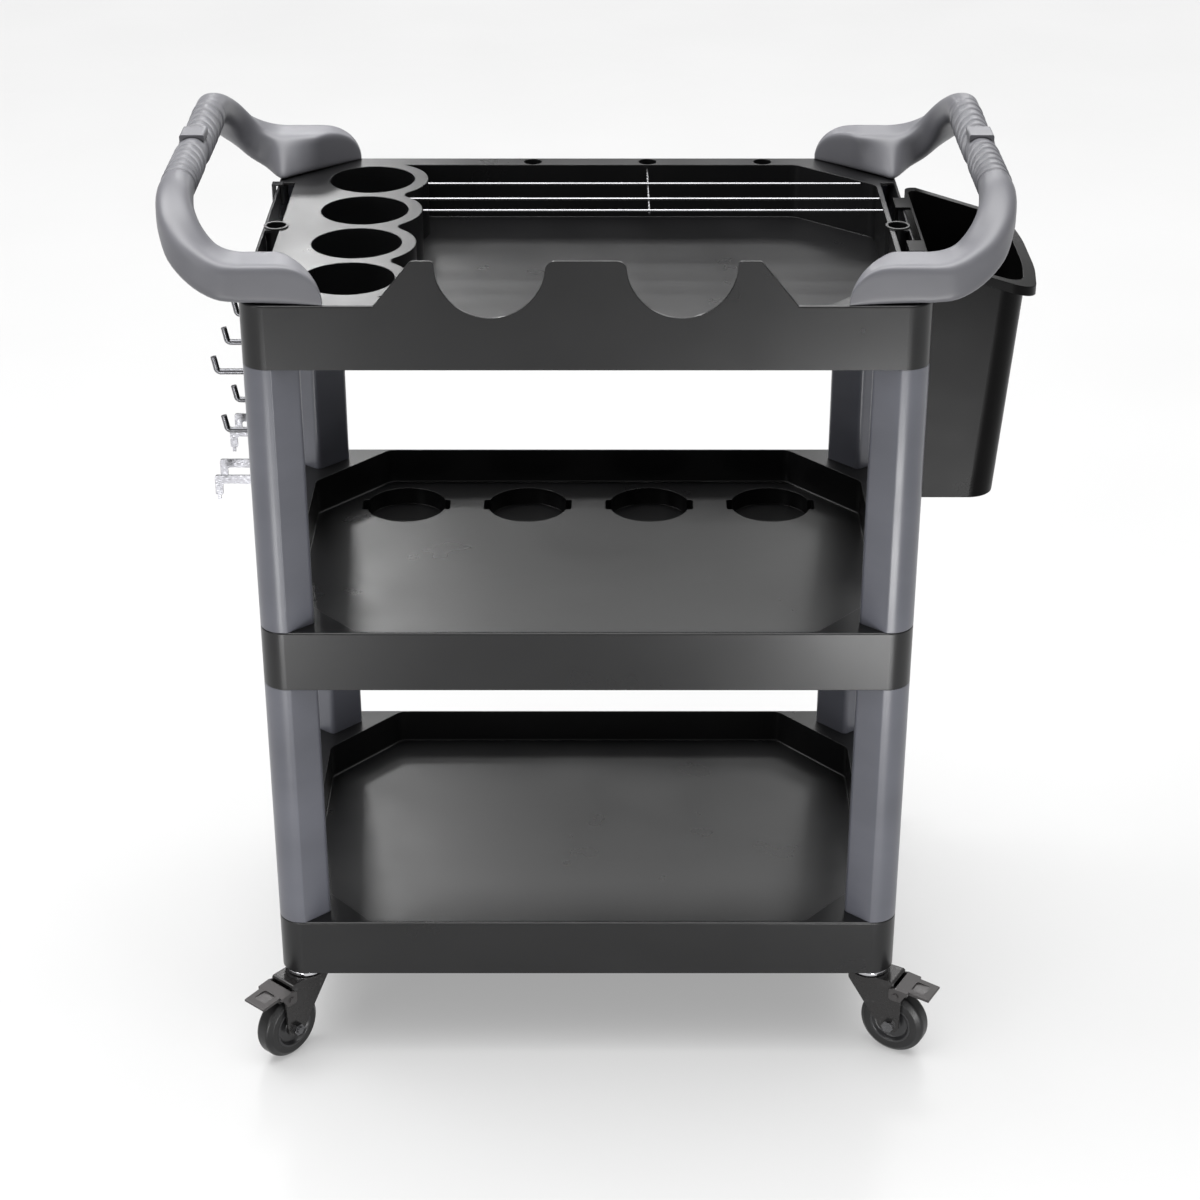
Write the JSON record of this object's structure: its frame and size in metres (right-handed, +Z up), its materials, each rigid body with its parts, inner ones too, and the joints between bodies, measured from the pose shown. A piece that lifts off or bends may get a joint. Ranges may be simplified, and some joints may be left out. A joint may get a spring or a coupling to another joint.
{
  "type": "spa trolley cart",
  "caption": "Rolling spa trolley with moulded trays on grey tubular legs, push handles, cup wells, bottle rods, a hanging waste bin, tool hooks and braked swivel casters.",
  "frame": {"origin": "on the floor under the middle of the trays", "axes": "+Z up, +X towards the waste bin's side, -Y the front with the raised screen"},
  "size_m": [0.8765, 0.5506, 0.9817],
  "materials": {
    "tray_plastic": "fine satin texture with glossy edges",
    "leg_plastic": "smooth satin grey",
    "handle_plastic": "smooth satin light grey",
    "rod_steel": "polished wire",
    "hook_steel": "zinc plated",
    "panel_plastic": "fine satin",
    "bin_plastic": "semi-gloss black",
    "ring_chrome": "polished plating",
    "fork_steel": "black coating with a metallic sheen",
    "pedal_steel": "black coating with a metallic sheen",
    "stem_steel": "zinc plated",
    "screw_steel": "zinc plated",
    "hub_plastic": "moulded dark grey",
    "tyre_rubber": "smooth rubber"
  },
  "bodies": {
    "root": {"bottle_cross_rod": "rod_steel", "bottle_rod_back": "rod_steel", "bottle_rod_front": "rod_steel", "bottle_rod_middle": "rod_steel", "bottom_shelf": "tray_plastic", "caster_front_left_stem": "stem_steel", "caster_front_right_stem": "stem_steel", "caster_rear_left_stem": "stem_steel", "caster_rear_right_stem": "stem_steel", "grip_clip_left": "handle_plastic", "grip_clip_right": "handle_plastic", "handle_left": "handle_plastic", "handle_right": "handle_plastic", "handle_screws": "screw_steel", "lower_leg_front_left": "leg_plastic", "lower_leg_front_right": "leg_plastic", "lower_leg_rear_left": "leg_plastic", "lower_leg_rear_right": "leg_plastic", "lower_leg_screws": "screw_steel", "middle_shelf": "tray_plastic", "top_tray": "tray_plastic", "upper_leg_front_left": "leg_plastic", "upper_leg_front_right": "leg_plastic", "upper_leg_rear_left": "leg_plastic", "upper_leg_rear_right": "leg_plastic", "upper_leg_screws": "screw_steel"},
    "caster_front_left_swivel": {"caster_front_left_fork": "fork_steel", "caster_front_left_swivel_ring": "ring_chrome", "caster_front_left_axle_bolt": "stem_steel"},
    "caster_front_left_wheel": {"caster_front_left_hub": "hub_plastic", "caster_front_left_tyre": "tyre_rubber"},
    "caster_front_left_pedal": {"caster_front_left_brake_pedal": "pedal_steel"},
    "caster_front_right_swivel": {"caster_front_right_fork": "fork_steel", "caster_front_right_swivel_ring": "ring_chrome", "caster_front_right_axle_bolt": "stem_steel"},
    "caster_front_right_wheel": {"caster_front_right_hub": "hub_plastic", "caster_front_right_tyre": "tyre_rubber"},
    "caster_front_right_pedal": {"caster_front_right_brake_pedal": "pedal_steel"},
    "caster_rear_left_swivel": {"caster_rear_left_fork": "fork_steel", "caster_rear_left_swivel_ring": "ring_chrome", "caster_rear_left_axle_bolt": "stem_steel"},
    "caster_rear_left_wheel": {"caster_rear_left_hub": "hub_plastic", "caster_rear_left_tyre": "tyre_rubber"},
    "caster_rear_left_pedal": {"caster_rear_left_brake_pedal": "pedal_steel"},
    "caster_rear_right_swivel": {"caster_rear_right_fork": "fork_steel", "caster_rear_right_swivel_ring": "ring_chrome", "caster_rear_right_axle_bolt": "stem_steel"},
    "caster_rear_right_wheel": {"caster_rear_right_hub": "hub_plastic", "caster_rear_right_tyre": "tyre_rubber"},
    "caster_rear_right_pedal": {"caster_rear_right_brake_pedal": "pedal_steel"},
    "bin": {"waste_bin": "bin_plastic"},
    "hook_board": {"hook_panel": "panel_plastic", "peg_hooks": "hook_steel", "tool_holder_front": "hook_steel", "tool_holder_rear": "hook_steel"}
  },
  "joints": [
    {"name": "front_left_swivel", "type": "hinge", "parent": "root", "child": "caster_front_left_swivel", "pos_m": [-0.311, -0.203, 0.095], "axis": [0, 0, 1], "continuous": true},
    {"name": "front_left_roll", "type": "hinge", "parent": "caster_front_left_swivel", "child": "caster_front_left_wheel", "pos_m": [-0.33265, -0.22791, 0.0375], "axis": [0.7547, -0.6561, 0], "continuous": true},
    {"name": "front_left_brake", "type": "hinge", "parent": "caster_front_left_swivel", "child": "caster_front_left_pedal", "pos_m": [-0.33724, -0.23319, 0.08], "axis": [0.7547, -0.6561, 0], "range_deg": [0, 10]},
    {"name": "front_right_swivel", "type": "hinge", "parent": "root", "child": "caster_front_right_swivel", "pos_m": [0.311, -0.203, 0.095], "axis": [0, 0, 1], "continuous": true},
    {"name": "front_right_roll", "type": "hinge", "parent": "caster_front_right_swivel", "child": "caster_front_right_wheel", "pos_m": [0.33958, -0.2195, 0.0375], "axis": [0.5, 0.866, 0], "continuous": true},
    {"name": "front_right_brake", "type": "hinge", "parent": "caster_front_right_swivel", "child": "caster_front_right_pedal", "pos_m": [0.34564, -0.223, 0.08], "axis": [0.5, 0.866, 0], "range_deg": [0, 10]},
    {"name": "rear_left_swivel", "type": "hinge", "parent": "root", "child": "caster_rear_left_swivel", "pos_m": [-0.311, 0.203, 0.095], "axis": [0, 0, 1], "continuous": true},
    {"name": "rear_left_roll", "type": "hinge", "parent": "caster_rear_left_swivel", "child": "caster_rear_left_wheel", "pos_m": [-0.32649, 0.23214, 0.0375], "axis": [-0.8829, -0.4695, 0], "continuous": true},
    {"name": "rear_left_brake", "type": "hinge", "parent": "caster_rear_left_swivel", "child": "caster_rear_left_pedal", "pos_m": [-0.32978, 0.23832, 0.08], "axis": [-0.8829, -0.4695, 0], "range_deg": [0, 10]},
    {"name": "rear_right_swivel", "type": "hinge", "parent": "root", "child": "caster_rear_right_swivel", "pos_m": [0.311, 0.203, 0.095], "axis": [0, 0, 1], "continuous": true},
    {"name": "rear_right_roll", "type": "hinge", "parent": "caster_rear_right_swivel", "child": "caster_rear_right_wheel", "pos_m": [0.33132, 0.229, 0.0375], "axis": [-0.788, 0.6157, 0], "continuous": true},
    {"name": "rear_right_brake", "type": "hinge", "parent": "caster_rear_right_swivel", "child": "caster_rear_right_pedal", "pos_m": [0.33563, 0.23452, 0.08], "axis": [-0.788, 0.6157, 0], "range_deg": [0, 10]},
    {"name": "bin_lift", "type": "slide", "parent": "root", "child": "bin", "axis": [0, 0, 1], "range_m": [0, 0.03]},
    {"name": "hook_board_lift", "type": "slide", "parent": "root", "child": "hook_board", "axis": [0, 0, 1], "range_m": [0, 0.03]}
  ]
}
